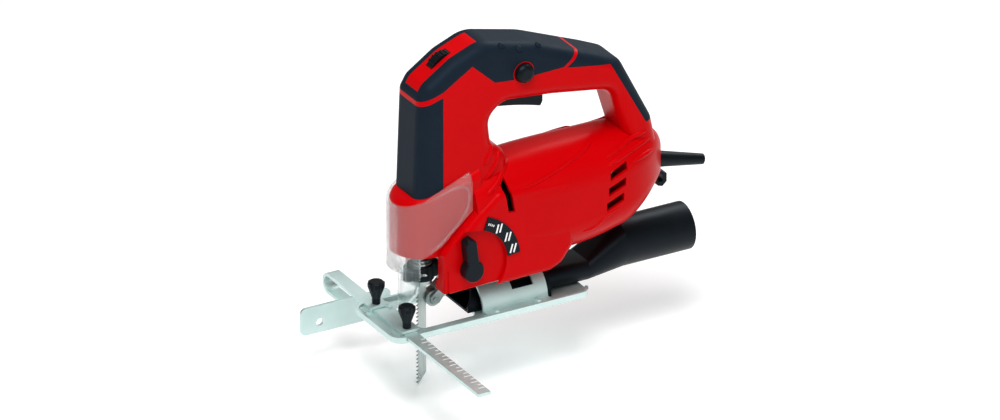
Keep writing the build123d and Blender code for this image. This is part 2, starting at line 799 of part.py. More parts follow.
with BuildPart() as commutator:
    with BuildSketch(Plane.YZ.offset(commutator_x)):
        with Locations((0, motor_axis_z)):
            Circle(commutator_radius)
            with PolarLocations(commutator_radius, 2 * core_slots):
                Rectangle(1.4, 0.5, mode=Mode.SUBTRACT)
            Circle(shaft_radius, mode=Mode.SUBTRACT)
    extrude(amount=commutator_length)
save(commutator, "commutator")

with BuildPart() as fan:
    with BuildSketch(Plane.YZ.offset(fan_x)):
        with Locations((0, motor_axis_z)):
            Circle(fan_radius)
            Circle(shaft_radius, mode=Mode.SUBTRACT)
    extrude(amount=1.8)
    with BuildSketch(Plane.YZ.offset(fan_x)):
        with Locations((0, motor_axis_z)):
            Circle(shaft_radius + 3)
            with PolarLocations(fan_radius - 7, fan_blades):
                Rectangle(13.0, 1.6, rotation=32)
            Circle(shaft_radius, mode=Mode.SUBTRACT)
    extrude(amount=fan_width)
save(fan, "fan")


def ball_bearing(x):
    """A shielded bearing, shown as one ring with a recessed shield on each face."""
    with BuildPart() as bearing:
        with BuildSketch(Plane.YZ.offset(x)):
            with Locations((0, motor_axis_z)):
                Circle(bearing_radius)
                Circle(shaft_radius, mode=Mode.SUBTRACT)
        extrude(amount=bearing_width)
        with BuildSketch(Plane.YZ.offset(x), Plane.YZ.offset(x + bearing_width - 0.5)):
            with Locations((0, motor_axis_z)):
                Circle(bearing_radius - 2)
                Circle(shaft_radius + 2, mode=Mode.SUBTRACT)
        extrude(amount=0.5, mode=Mode.SUBTRACT)
    return bearing


save(ball_bearing(front_bearing_x), "front_bearing")
save(ball_bearing(rear_bearing_x), "rear_bearing")

# Stator: laminated ring with two pole shoes and a coil round each
pole_width = 26.0
coil_overhang = 6.0
with BuildPart() as stator_core:
    with BuildSketch(Plane.YZ.offset(core_x)):
        with Locations((0, motor_axis_z)):
            Circle(stator_radius)
            Circle(stator_radius - 4, mode=Mode.SUBTRACT)
            Rectangle(pole_width - 8, 2 * stator_radius - 4)
            Circle(stator_bore, mode=Mode.SUBTRACT)
    extrude(amount=core_length)
save(stator_core, "stator_core")

with BuildPart() as field_coils:
    with BuildSketch(Plane.YZ.offset(core_x - coil_overhang)):
        with Locations((0, motor_axis_z)):
            Circle(stator_radius - 4.3)
            Rectangle(pole_width - 8 + 0.6, 3 * stator_radius, mode=Mode.SUBTRACT)
            Rectangle(3 * stator_radius, 16.0, mode=Mode.SUBTRACT)
            Circle(stator_bore + 0.8, mode=Mode.SUBTRACT)
    extrude(amount=core_length + 2 * coil_overhang)
save(field_coils, "field_coils")

# Brush gear: a guide and a carbon brush on each side of the commutator
brush_x = commutator_x + commutator_length / 2
brush_tip = commutator_radius + 0.3
holder_length = 16.0
with BuildPart() as brush_holders:
    for side in (-1, 1):
        with BuildSketch(Plane.XZ.offset(-side * (brush_tip + 1.5))):
            with Locations((brush_x, motor_axis_z)):
                RectangleRounded(brush_size + 3.2, brush_size + 3.2, 1.2)
                Rectangle(brush_size, brush_size, mode=Mode.SUBTRACT)
        extrude(amount=-side * holder_length)
save(brush_holders, "brush_holders")

with BuildPart() as carbon_brushes:
    for side in (-1, 1):
        with BuildSketch(Plane.XZ.offset(-side * brush_tip)):
            with Locations((brush_x, motor_axis_z)):
                Rectangle(brush_size - 0.1, brush_size - 0.1)
        extrude(amount=-side * 12.0)
save(carbon_brushes, "carbon_brushes")

# Outlines of the housing in side view, as (X, Z)
loop_outline = [(-13.5, 78), (-9.5, 176), (-4, 185), (17.5, 199.5), (41, 208.8), (84, 198.5)]
loop_outline += [(134, 178.5), (152, 170.5), (177.5, 121), (183, 96), (176, 78)]
loop_rounding = [0, 11, 12, 25, 25, 70, 70, 14, 14, 12, 0]
opening_outline = [(63, 100), (60, 121), (48.5, 130), (46.5, 150), (58, 159.5), (97, 155.5)]
opening_outline += [(144.5, 148), (155.5, 112), (161, 92)]
opening_rounding = [6, 12, 12, 12, 14, 30, 12, 30, 10]
skirt_outline = [(3, 25), (88, 27), (97, 31), (107, 44), (107, 96), (46, 98), (31, 86), (3, 59)]
skirt_rounding = [2, 8, 10, 10, 6, 8, 8, 4]
barrel_sections = [
    (30, 44, 106, 28.0, 20.0),
    (62, 36, 112, 30.8, 26.0),
    (104, 32, 114, 31.4, 28.0),
    (146, 38, 114, 30.4, 27.0),
]
barrel_end_sections = [
    barrel_sections[-1],
    (160, 44, 113, 28.4, 24.0),
    (174, 55, 111, 22.5, 19.0),
    (188, 66, 101, 10.0, 9.0),
]
nose_rear = 36.0
nose_tip_top_z = 97.0
nose_heel_top_z = 116.0


def loop_form(inset):
    """The front post, handle and rear post as one filleted loop, drawn in by inset."""
    with BuildPart() as form:
        with BuildSketch(Plane.XZ):
            with BuildLine():
                FilletPolyline(*loop_outline, radius=loop_rounding, close=True)
            make_face()
            with BuildLine():
                FilletPolyline(*opening_outline, radius=opening_rounding, close=True)
            make_face(mode=Mode.SUBTRACT)
            if inset:
                offset(amount=-inset, kind=Kind.INTERSECTION)
        extrude(amount=ring_half_width - inset, both=True)
        rims = form.faces().filter_by(Axis.Y).edges()
        fillet(rims.filter_by(lambda edge: edge.center().Z > 84), ring_edge - inset)
    return form.part


def barrel_form(inset):
    """The motor barrel, lofted through rounded sections with a tapered rear end, drawn in by inset."""
    with BuildPart() as form:
        for sections in (barrel_sections, barrel_end_sections):
            for x, low, high, half, corner in sections:
                with BuildSketch(Plane.YZ.offset(x)):
                    with Locations((0, (low + high) / 2)):
                        RectangleRounded(2 * (half - inset), high - low - 2 * inset, corner - inset)
            loft()
        if inset:
            clear_start = barrel_sections[0][0] + inset
            clear_length = barrel_end_sections[-1][0] - inset - clear_start
            with Locations((clear_start, 0, motor_axis_z)):
                Box(
                    clear_length,
                    120,
                    120,
                    align=(Align.MIN, Align.CENTER, Align.CENTER),
                    mode=Mode.INTERSECT,
                )
    return form.part


def skirt_form(inset):
    """The deep front block beside the gear case, drawn in by inset."""
    with BuildPart() as form:
        with BuildSketch(Plane.XZ):
            with BuildLine():
                FilletPolyline(*skirt_outline, radius=skirt_rounding, close=True)
            make_face()
            if inset:
                offset(amount=-inset, kind=Kind.INTERSECTION)
        extrude(amount=skirt_half_width - inset, both=True)
        rims = form.faces().filter_by(Axis.Y).edges()
        fillet(rims.filter_by(lambda edge: edge.center().Z > 45), 5.0 - 0.9 * inset)
    return form.part


def nose_form(inset, rear=nose_rear, bottom_z=nose_bottom_z):
    """The round nose round the plunger, sloped and shouldered at its top, drawn in by inset."""
    with BuildPart() as form:
        with BuildSketch(Plane.XY.offset(bottom_z)):
            Circle(nose_radius - inset)
            Rectangle(rear, 2 * (nose_radius - inset), align=(Align.MIN, Align.CENTER))
        extrude(amount=nose_heel_top_z + 20 - bottom_z)
        rise = nose_heel_top_z - nose_tip_top_z
        run = nose_rear + nose_radius
        cut = Plane((-nose_radius, 0, nose_tip_top_z - inset), x_dir=(0, 1, 0), z_dir=(-rise, 0, run))
        split(bisect_by=cut, keep=Keep.BOTTOM)
        brow = form.faces().sort_by(Axis.Z)[-1].edges()
        fillet(brow.filter_by(lambda edge: edge.center().X < rear - 1), nose_shoulder - inset)
    return form.part


outer_loop = loop_form(0)
skin_loop = loop_form(grip_skin)
inner_loop = loop_form(grip_skin + wall)

# Where the grips cover the loop, as side-view regions
pad_region = [(-20, 99), (7.8, 104), (7.8, 176), (-20, 168)]
top_region = [(-20, 171), (7.8, 180), (31, 194.5), (49, 178), (69, 176), (104, 177)]
top_region += [(120, 188), (120, 230), (-20, 230)]
rear_region = [(106.5, 176), (123, 187.5), (123, 230), (230, 230), (230, 119)]
rear_region += [(170.5, 119), (142, 170)]
strip_front = -7.0
strip_rear = 40.0
strip_half_width = 8.5
lock_ring = 1.0


def grip_skin_piece(region):
    """The part of the loop's outer skin that lies inside a side-view region."""
    with BuildPart() as piece:
        with BuildSketch(Plane.XZ):
            with BuildLine():
                Polyline(*region, close=True)
            make_face()
        extrude(amount=2 * ring_half_width, both=True)
        add(outer_loop, mode=Mode.INTERSECT)
        add(skin_loop, mode=Mode.SUBTRACT)
    return piece


front_pad = grip_skin_piece(pad_region)
save(front_pad, "front_grip_pad")
rear_grip = grip_skin_piece(rear_region)
save(rear_grip, "rear_grip")

# Top grip: leaves the dial strip open and a round window for the lock button
top_skin = grip_skin_piece(top_region).part
strip_length = strip_rear - strip_front
with BuildPart() as top_grip:
    add(top_skin)
    with Locations((strip_front, 0, 150)):
        Box(
            strip_length,
            2 * strip_half_width,
            100,
            align=(Align.MIN, Align.CENTER, Align.MIN),
            mode=Mode.SUBTRACT,
        )
    with BuildSketch(Plane.XZ):
        with Locations((lock_x, lock_z)):
            Circle(lock_radius + lock_ring)
    extrude(amount=2 * ring_half_width, mode=Mode.SUBTRACT)
save(top_grip, "top_grip")

# Dial strip: red cover on the sloping head, slotted for the thumbwheel
with BuildPart() as dial_strip:
    add(top_skin)
    with Locations((strip_front, 0, 150)):
        Box(
            strip_length,
            2 * strip_half_width,
            100,
            align=(Align.MIN, Align.CENTER, Align.MIN),
            mode=Mode.INTERSECT,
        )
    with BuildSketch(Plane.XZ):
        with Locations((dial_x, dial_z)):
            Circle(dial_radius + slide_gap)
    extrude(amount=dial_width / 2 + slide_gap, both=True, mode=Mode.SUBTRACT)
save(dial_strip, "dial_strip")

# Housing: two moulded halves, ribbed to hold the motor and bossed for the screws
barrel_cavity = barrel_form(wall)
rib_overlap = 0.8


def motor_rib(x, thickness, hole_radius):
    """A rib across the barrel with a round seat for a motor piece."""
    with BuildPart() as rib:
        add(barrel_form(wall - rib_overlap))
        with Locations((x, 0, motor_axis_z)):
            Box(thickness, 120, 120, align=(Align.MIN, Align.CENTER, Align.CENTER), mode=Mode.INTERSECT)
        with BuildSketch(Plane.YZ.offset(x)):
            with Locations((0, motor_axis_z)):
                Circle(hole_radius)
        extrude(amount=thickness, mode=Mode.SUBTRACT)
    return rib.part


rib_thickness = 3.0
stator_ribs = [
    motor_rib(core_x + 2.0, rib_thickness, stator_radius),
    motor_rib(core_x + core_length - 5.0, rib_thickness, stator_radius),
]
bearing_rib = motor_rib(rear_bearing_x, bearing_width, bearing_radius)
loop_screw_points = [(30, 150), (41, 172), (155.5, 135)]
barrel_screw_points = [(168, 101), (120, 56)]
screw_points = loop_screw_points + barrel_screw_points
screw_boss_radius = 4.3
screw_radius = 1.6
screw_head_radius = 3.2
screw_head_height = 2.5
screw_head_y = 15.0
screw_end_y = -8.0
vent_slots = [(142.5, 91.5), (141.2, 80.0), (139.6, 68.5)]
vent_outline = [(-7.0, -6.0), (-7.0, 0.5), (7.0, 6.0), (7.0, -0.5)]
fan_vent_outline = [(49.8, 101.0), (54.0, 105.0), (58.5, 80.8), (53.3, 81.3)]

cavity_half_width = ring_half_width - grip_skin - wall
dial_axle_half = cavity_half_width + 1.2
sleeve_drop = radians(sleeve_drop_angle)
sleeve_way = (cos(sleeve_drop), 0, -sin(sleeve_drop))
sleeve_plane = Plane((sleeve_x, 0, sleeve_z), x_dir=(0, 1, 0), z_dir=sleeve_way)
switch_front = 56.0
switch_rear = 94.0
switch_half_width = 12.5
switch_bottom_z = 165.5
switch_height = 6.5
trigger_top_z = switch_bottom_z - trigger_travel - 0.5

with BuildPart() as screw_bosses:
    with BuildSketch(Plane.XZ):
        with Locations(*loop_screw_points):
            Circle(screw_boss_radius)
    extrude(amount=ring_half_width - 3.0, both=True)

with BuildPart() as barrel_bosses:
    with BuildSketch(Plane.XZ):
        with Locations(*barrel_screw_points):
            Circle(screw_boss_radius)
    extrude(amount=barrel_half_width, both=True)
    add(barrel_form(wall - rib_overlap), mode=Mode.INTERSECT)

with BuildPart() as selector_pad:
    add(skirt_form(0.9 * wall))
    with BuildSketch(Plane.XZ.offset(skirt_half_width - 2 * wall)):
        with Locations((selector_x, selector_z)):
            Circle(selector_recess_radius + 1.0)
    extrude(amount=2 * wall, mode=Mode.INTERSECT)

with BuildPart() as housing_form:
    add(outer_loop)
    add(barrel_form(0))
    add(skirt_form(0))
    add(nose_form(0))
    for covering in (front_pad.part, rear_grip.part, top_grip.part, dial_strip.part):
        add(covering, mode=Mode.SUBTRACT)
    add(inner_loop, mode=Mode.SUBTRACT)
    add(barrel_cavity, mode=Mode.SUBTRACT)
    add(skirt_form(wall), mode=Mode.SUBTRACT)
    add(nose_form(wall, bottom_z=nose_bottom_z - 20), mode=Mode.SUBTRACT)
    skirt_front = skirt_outline[0][0] + wall
    with Locations((skirt_front, 0, 10)):
        Box(
            skirt_outline[1][0] - skirt_front,
            2 * (skirt_half_width - wall),
            36,
            align=(Align.MIN, Align.CENTER, Align.MIN),
            mode=Mode.SUBTRACT,
        )
    for rib in stator_ribs:
        add(rib)
    add(bearing_rib)
    with Locations((bulkhead_x, 0, skirt_bottom_z)):
        Box(
            seat_rear + seat_gap - bulkhead_x,
            2 * (case_half_width + seat_gap),
            seat_top_z + seat_gap - skirt_bottom_z,
            align=(Align.MIN, Align.CENTER, Align.MIN),
            mode=Mode.SUBTRACT,
        )
    add(screw_bosses.part)
    add(barrel_bosses.part)
    add(selector_pad.part)
    with BuildSketch(Plane.XZ.offset(skirt_half_width - selector_recess_depth)):
        with Locations((selector_x, selector_z)):
            Circle(selector_recess_radius)
    extrude(amount=10, mode=Mode.SUBTRACT)
    with BuildSketch(Plane.XZ.offset(skirt_half_width - 4 * wall)):
        with Locations((selector_x, selector_z)):
            Circle(selector_shaft_radius + running)
    extrude(amount=20, mode=Mode.SUBTRACT)
    with BuildSketch(Plane.XZ):
        Polygon(*fan_vent_outline, align=None)
        with Locations(*vent_slots):
            Polygon(*vent_outline, align=None)
    extrude(amount=2 * barrel_half_width, both=True, mode=Mode.SUBTRACT)
    with BuildSketch(Plane.XZ):
        with Locations((dial_x, dial_z)):
            Circle(dial_radius + slide_gap)
    extrude(amount=dial_width / 2 + slide_gap, both=True, mode=Mode.SUBTRACT)
    with BuildSketch(Plane.XZ):
        with Locations((dial_x, dial_z)):
            Circle(dial_axle_radius)
    extrude(amount=dial_axle_half, both=True, mode=Mode.SUBTRACT)
    with BuildSketch(Plane.YZ.offset(gear_front - 1.0)):
        with Locations((0, gear_axis_z)):
            Circle(gear_pitch_radius + 1.4)
    extrude(amount=gear_width + 2.0, mode=Mode.SUBTRACT)
    with Locations((0, 0, clamp_bottom_z - 10)):
        Box(16, 2 * (wing_reach + 3), 42, align=(Align.CENTER, Align.CENTER, Align.MIN), mode=Mode.SUBTRACT)
    with Locations((0, 0, skirt_bottom_z - 1)):
        Box(
            16,
            2 * (skirt_half_width - wall),
            5,
            align=(Align.CENTER, Align.CENTER, Align.MIN),
            mode=Mode.SUBTRACT,
        )
    with Locations((trigger_front - slide_gap, 0, trigger_bottom_z)):
        Box(
            trigger_length + 2 * slide_gap,
            trigger_width + 2 * slide_gap,
            20,
            align=(Align.MIN, Align.CENTER, Align.MIN),
            mode=Mode.SUBTRACT,
        )
    with BuildSketch(Plane.XZ):
        with Locations((lock_x, lock_z)):
            Circle(lock_radius + slide_gap)
    extrude(amount=2 * ring_half_width, mode=Mode.SUBTRACT)
    with BuildSketch(sleeve_plane):
        Circle(sleeve_root_radius)
    extrude(amount=12, both=True, mode=Mode.SUBTRACT)
    with Locations((switch_front + 2, 0, switch_bottom_z), (switch_rear - 5, 0, switch_bottom_z)):
        Box(3, 2 * ring_half_width - 7, 6, align=(Align.MIN, Align.CENTER, Align.MIN))
    with Locations((switch_front, 0, switch_bottom_z)):
        Box(
            switch_rear - switch_front,
            2 * switch_half_width,
            switch_height,
            align=(Align.MIN, Align.CENTER, Align.MIN),
            mode=Mode.SUBTRACT,
        )
    with BuildSketch(Plane.XZ.offset(-screw_end_y)):
        with Locations(*screw_points):
            Circle(screw_radius)
    extrude(amount=-60, mode=Mode.SUBTRACT)
    with BuildSketch(Plane.XZ.offset(-screw_head_y)):
        with Locations(*screw_points):
            Circle(screw_head_radius + slide_gap)
    extrude(amount=-40, mode=Mode.SUBTRACT)

for name, side in (("housing_left", Keep.TOP), ("housing_right", Keep.BOTTOM)):
    with BuildPart() as housing_half:
        add(housing_form.part)
        split(bisect_by=Plane.XZ, keep=side)
    save(housing_half, name)

# Housing screws: driven from the right side
with BuildPart() as housing_screws:
    with BuildSketch(Plane.XZ.offset(-screw_end_y)):
        with Locations(*screw_points):
            Circle(screw_radius)
    extrude(amount=screw_end_y - screw_head_y)
    with BuildSketch(Plane.XZ.offset(-screw_head_y)):
        with Locations(*screw_points):
            Circle(screw_head_radius)
    extrude(amount=-screw_head_height)
    with BuildSketch(Plane.XZ.offset(-screw_head_y - 1.0)):
        with Locations(*screw_points):
            RegularPolygon(1.7, 6)
    extrude(amount=-screw_head_height, mode=Mode.SUBTRACT)
save(housing_screws, "housing_screws")

# Clear guard: a shouldered shell round the nose with a tongue drawn in before the blade
guard_inner = nose_radius + guard_gap
guard_outer = guard_inner + guard_wall
tongue_radius = 16.4
tongue_front_z = 43.5
guard_side = [(-30, 90.7), (28, 114.5), (28, 86.6), (4, 65), (-12, 56), (-12, tongue_front_z)]
guard_side += [(-30, tongue_front_z)]
post_gap = 0.5
roof_cut_front = -10.0
tongue_outline = [(-26, 50), (26, 50), (26, 46), (14, 37), (12, 26), (5, 13)]
tongue_outline += [(-5, 13), (-12, 26), (-14, 37), (-26, 46)]
with BuildPart() as guard_tongue:
    with BuildSketch(Plane.XZ):
        with BuildLine():
            Polyline(
                (-guard_outer, tongue_front_z + 1),
                (-guard_outer, tongue_front_z),
                (-tongue_radius, tongue_front_z - 4.5),
                (-tongue_radius, 10),
                (guard_wall - tongue_radius, 10),
                (guard_wall - tongue_radius, tongue_front_z - 3.5),
                (-guard_inner, tongue_front_z + 1),
                close=True,
            )
        make_face()
    revolve(axis=Axis.Z)
    with BuildSketch(Plane.YZ.offset(-30)):
        with BuildLine():
            Polyline(*tongue_outline, close=True)
        make_face()
    extrude(amount=22, mode=Mode.INTERSECT)

with BuildPart() as clear_guard:
    add(nose_form(-guard_gap - guard_wall, guard_rear, tongue_front_z))
    add(nose_form(-guard_gap, guard_rear, tongue_front_z), mode=Mode.SUBTRACT)
    with Locations((roof_cut_front, 0, nose_tip_top_z - 2)):
        Box(
            guard_rear - roof_cut_front,
            2 * (ring_half_width + post_gap),
            40,
            align=(Align.MIN, Align.CENTER, Align.MIN),
            mode=Mode.SUBTRACT,
        )
    with BuildSketch(Plane.XZ):
        with BuildLine():
            Polyline(*guard_side, close=True)
        make_face()
    extrude(amount=2 * guard_outer, both=True, mode=Mode.INTERSECT)
    add(guard_tongue.part)
save(clear_guard, "clear_guard")

# Pendulum selector: lever in the round recess, its shaft and the printed arc beside it
lever_y = skirt_half_width - selector_recess_depth + seat_gap
lever_thickness = 8.0
lever_width = 9.0
lever_rest_angle = 97.0
with BuildPart() as selector_lever:
    with BuildSketch(Plane.XZ.offset(lever_y)):
        with Locations((selector_x, selector_z)):
            Circle(selector_boss_radius)
            SlotOverall(
                2 * selector_lever_length, lever_width, rotation=lever_rest_angle
            )
        with Locations((selector_x, selector_z - 1)):
            Rectangle(60, 60, align=(Align.CENTER, Align.MAX), mode=Mode.SUBTRACT)
            Circle(selector_boss_radius)
    extrude(amount=lever_thickness)
    fillet(selector_lever.faces().sort_by(Axis.Y)[0].edges(), 1.2)
save(selector_lever, "selector_lever")

shaft_inner_y = cheek_outer + 0.6
with BuildPart() as selector_shaft:
    with BuildSketch(Plane.XZ.offset(shaft_inner_y)):
        with Locations((selector_x, selector_z)):
            Circle(selector_shaft_radius)
    extrude(amount=lever_y - shaft_inner_y)
save(selector_shaft, "selector_shaft")

plate_reach = 2 * selector_recess_radius
plate_inner_radius = selector_recess_radius + 0.6
with BuildPart() as selector_plate:
    with BuildSketch(Plane.XZ.offset(skirt_half_width + 0.1)):
        with Locations((selector_x, selector_z)):
            Circle(plate_inner_radius + selector_plate_width)
            Circle(plate_inner_radius, mode=Mode.SUBTRACT)
            Polygon(
                (0, 0),
                (plate_reach * cos(radians(6)), plate_reach * sin(radians(6))),
                (plate_reach, plate_reach),
                (plate_reach * cos(radians(70)), plate_reach * sin(radians(70))),
                align=None,
                mode=Mode.INTERSECT,
            )
    extrude(amount=0.8)
save(selector_plate, "selector_plate")

# Speed dial: knurled thumbwheel on an axle across the head
with BuildPart() as speed_dial:
    with BuildSketch(Plane.XZ):
        with Locations((dial_x, dial_z)):
            Circle(dial_radius)
            with PolarLocations(dial_radius + 0.3, 24):
                Circle(0.9, mode=Mode.SUBTRACT)
            Circle(dial_axle_radius + running, mode=Mode.SUBTRACT)
    extrude(amount=dial_width / 2, both=True)
save(speed_dial, "speed_dial")
save(cross_pin(dial_x, dial_z, dial_axle_radius, dial_axle_half), "dial_axle")

# Trigger, switch and lock button
with BuildPart() as trigger:
    trigger_rear = trigger_front + trigger_length
    with BuildSketch(Plane.XZ):
        with BuildLine():
            Polyline(
                (trigger_rear - 2, trigger_bottom_z),
                (trigger_rear, trigger_bottom_z + 4),
                (trigger_rear, trigger_top_z),
                (trigger_front, trigger_top_z),
                (trigger_front, trigger_bottom_z + 9.5),
                (trigger_front + 3, trigger_bottom_z + 7.5),
            )
            ThreePointArc(
                (trigger_front + 3, trigger_bottom_z + 7.5),
                (trigger_front + 20, trigger_bottom_z + 4.6),
                (trigger_rear - 2, trigger_bottom_z),
            )
        make_face()
    extrude(amount=trigger_width / 2, both=True)
    fillet(trigger.edges().filter_by(GeomType.CIRCLE), 2.0)
save(trigger, "trigger")

with BuildPart() as switch_block:
    with Locations((switch_front, 0, switch_bottom_z)):
        Box(
            switch_rear - switch_front,
            2 * switch_half_width,
            switch_height,
            align=(Align.MIN, Align.CENTER, Align.MIN),
        )
save(switch_block, "switch_block")

lock_flange = 0.8
lock_rise = 5.0
with BuildPart() as lock_button:
    with BuildSketch(Plane.XZ.offset(cavity_half_width - 2.0)):
        with Locations((lock_x, lock_z)):
            Circle(lock_radius + lock_flange)
    extrude(amount=1.6)
    with BuildSketch(Plane.XZ.offset(cavity_half_width - 2.0)):
        with Locations((lock_x, lock_z)):
            Circle(lock_radius)
    extrude(amount=ring_half_width + lock_rise + 2.0 - cavity_half_width)
    fillet(lock_button.faces().sort_by(Axis.Y)[0].edges(), 4.0)
save(lock_button, "lock_button")

# Speed control board across the head
with BuildPart() as control_board:
    with Locations((5, 0, 160)):
        Box(18, 2 * cavity_half_width - 0.4, 1.6, align=(Align.MIN, Align.CENTER, Align.MIN))
    with Locations((9, 0, 161.6)):
        Box(9, 14, 4, align=(Align.MIN, Align.CENTER, Align.MIN))
save(control_board, "control_board")

# Cord sleeve: tapered rubber bend relief, flanged inside the rear wall
with BuildPart() as cord_sleeve:
    with BuildSketch(Plane(sleeve_plane.origin, x_dir=sleeve_plane.z_dir, z_dir=(0, -1, 0))):
        with BuildLine():
            Polyline(
                (-5.5, sleeve_bore_radius),
                (-5.5, sleeve_root_radius + 1.8),
                (-3.0, sleeve_root_radius + 1.8),
                (-3.0, sleeve_root_radius),
                (4.0, sleeve_root_radius - 0.2),
                (sleeve_length, sleeve_tip_radius),
                (sleeve_length, sleeve_bore_radius),
                close=True,
            )
        make_face()
    revolve(axis=Axis(sleeve_plane.origin, sleeve_plane.z_dir))
save(cord_sleeve, "cord_sleeve")

# Key hook: small moulded hook under the cord
hook_outline = [(188, 70.2), (191, 69.6), (196.5, 66.5), (196.5, 60), (193, 57), (189.5, 58), (190.5, 60.5)]
hook_outline += [(193.3, 61), (193.3, 65), (191, 67.3), (188, 67.6)]
with BuildPart() as key_hook:
    with BuildSketch(Plane.XZ):
        with BuildLine():
            Polyline(*hook_outline, close=True)
        make_face()
    extrude(amount=4.0, both=True)
save(key_hook, "key_hook")
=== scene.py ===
from math import cos, radians, sin

import bmesh
import bpy
from mathutils import Matrix, Vector


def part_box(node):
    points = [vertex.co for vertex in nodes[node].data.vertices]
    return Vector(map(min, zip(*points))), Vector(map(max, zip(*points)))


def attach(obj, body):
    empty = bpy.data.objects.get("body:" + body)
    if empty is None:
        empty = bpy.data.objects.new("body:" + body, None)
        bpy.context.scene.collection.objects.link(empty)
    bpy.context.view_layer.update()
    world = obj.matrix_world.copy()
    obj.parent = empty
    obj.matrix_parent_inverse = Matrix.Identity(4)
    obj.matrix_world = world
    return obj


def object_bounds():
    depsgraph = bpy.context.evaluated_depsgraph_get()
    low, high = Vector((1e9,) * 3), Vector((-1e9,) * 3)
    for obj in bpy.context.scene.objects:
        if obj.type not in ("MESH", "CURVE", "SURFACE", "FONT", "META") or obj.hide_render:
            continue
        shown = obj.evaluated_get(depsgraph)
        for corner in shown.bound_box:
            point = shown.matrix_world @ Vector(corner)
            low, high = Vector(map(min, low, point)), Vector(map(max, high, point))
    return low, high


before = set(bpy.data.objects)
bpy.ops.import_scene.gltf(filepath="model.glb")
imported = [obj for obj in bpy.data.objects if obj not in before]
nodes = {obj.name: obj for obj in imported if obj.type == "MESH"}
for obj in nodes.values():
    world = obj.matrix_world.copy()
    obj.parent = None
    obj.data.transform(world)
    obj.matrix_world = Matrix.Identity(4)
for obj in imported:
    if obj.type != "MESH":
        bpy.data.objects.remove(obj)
cad_box = [list(corner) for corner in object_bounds()]

# Studio: a pale floor just under the blade's tip, which glows a little to keep its shadows light.
# A large soft box stands high over the tool's left front, a weaker one at its rear and a low fill in
# front. The camera is a long lens from the left front.
def linear(hex_colour):
    """An sRGB hex colour as linear RGBA."""
    channels = [int(hex_colour[i:i + 2], 16) / 255 for i in (1, 3, 5)]
    return [c / 12.92 if c <= 0.04045 else ((c + 0.055) / 1.055) ** 2.4 for c in channels] + [1.0]


def add_node(material, kind, settings, links=()):
    """Add a node with its settings, and link (input name, output socket) pairs into it."""
    node = material.node_tree.nodes.new(kind)
    for name, value in settings.items():
        if name in node.inputs:
            node.inputs[name].default_value = value
        else:
            setattr(node, name, value)
    for name, source in links:
        material.node_tree.links.new(source, node.inputs[name])
    return node


def new_finish(name, settings):
    """A named material with its shader, its settings and its object coordinates."""
    material = bpy.data.materials.new(name)
    material.use_nodes = True
    shader = material.node_tree.nodes["Principled BSDF"]
    for socket, value in settings.items():
        shader.inputs[socket].default_value = value
    coordinates = add_node(material, "ShaderNodeTexCoord", {})
    return material, shader, coordinates.outputs["Object"]


floor_drop = 0.002
floor_reach = 6.0
floor_mesh = bpy.data.meshes.new("floor")
shape = bmesh.new()
bmesh.ops.create_grid(shape, x_segments=2, y_segments=2, size=floor_reach)
bmesh.ops.translate(shape, verts=shape.verts, vec=(0, 0, cad_box[0][2] - floor_drop))
shape.to_mesh(floor_mesh)
shape.free()
floor = bpy.data.objects.new("floor", floor_mesh)
bpy.context.scene.collection.objects.link(floor)
paper, shader, place = new_finish("matt white paper", {"Roughness": 0.9, "Emission Strength": 0.18})
shader.inputs["Base Color"].default_value = linear("#F4F4F4")
shader.inputs["Emission Color"].default_value = linear("#FFFFFF")
floor_mesh.materials.append(paper)

world = bpy.data.worlds.new("studio")
bpy.context.scene.world = world
world.use_nodes = True
sky = world.node_tree.nodes["Background"]
sky.inputs["Color"].default_value = linear("#FFFFFF")
sky.inputs["Strength"].default_value = 0.24
bpy.context.scene.view_settings.view_transform = "Standard"

middle = Vector((0.0645, 0.0014, 0.0671))
for name, spot, size, power in (
    ("key", (-0.35, -0.5, 1.35), 0.8, 21.0),
    ("rear", (0.9, 0.5, 0.9), 0.7, 8.0),
    ("front fill", (0.35, -1.3, 0.35), 0.9, 2.5),
):
    lamp = bpy.data.lights.new(name, "AREA")
    lamp.size = size
    lamp.energy = power
    light = bpy.data.objects.new(name, lamp)
    light.location = spot
    light.rotation_euler = (middle - Vector(spot)).to_track_quat("-Z", "Y").to_euler()
    bpy.context.scene.collection.objects.link(light)

view_distance = 9.0
view_width = 0.7
lens = bpy.data.cameras.new("camera")
lens.sensor_fit = "HORIZONTAL"
lens.lens = lens.sensor_width * view_distance / view_width
camera = bpy.data.objects.new("camera", lens)
toward_camera = Vector((-0.4432, -0.7802, 0.4415)).normalized()
camera.location = middle + view_distance * toward_camera
camera.rotation_euler = toward_camera.to_track_quat("Z", "Y").to_euler()
bpy.context.scene.collection.objects.link(camera)
bpy.context.scene.camera = camera

# Housing halves and the dial strip: injection-moulded red ABS, screwed together on the middle plane.
# The mould's fine spark-eroded grain softens the highlights, and the colour is even all through.
def add_noise(material, place, per_metre, detail):
    """Noise with so many patches per metre, as a factor."""
    settings = {"Scale": per_metre, "Detail": detail}
    return add_node(material, "ShaderNodeTexNoise", settings, [("Vector", place)]).outputs["Fac"]


def blend_colour(material, shader, factor, low, high):
    """Let a factor move the base colour between two hex colours."""
    ramp = add_node(material, "ShaderNodeValToRGB", {}, [("Fac", factor)])
    ramp.color_ramp.elements[0].color = linear(low)
    ramp.color_ramp.elements[1].color = linear(high)
    material.node_tree.links.new(ramp.outputs["Color"], shader.inputs["Base Color"])


def blend_roughness(material, shader, factor, low, high):
    """Let a factor move the roughness between two values."""
    settings = {"To Min": low, "To Max": high}
    gloss = add_node(material, "ShaderNodeMapRange", settings, [("Value", factor)])
    material.node_tree.links.new(gloss.outputs["Result"], shader.inputs["Roughness"])


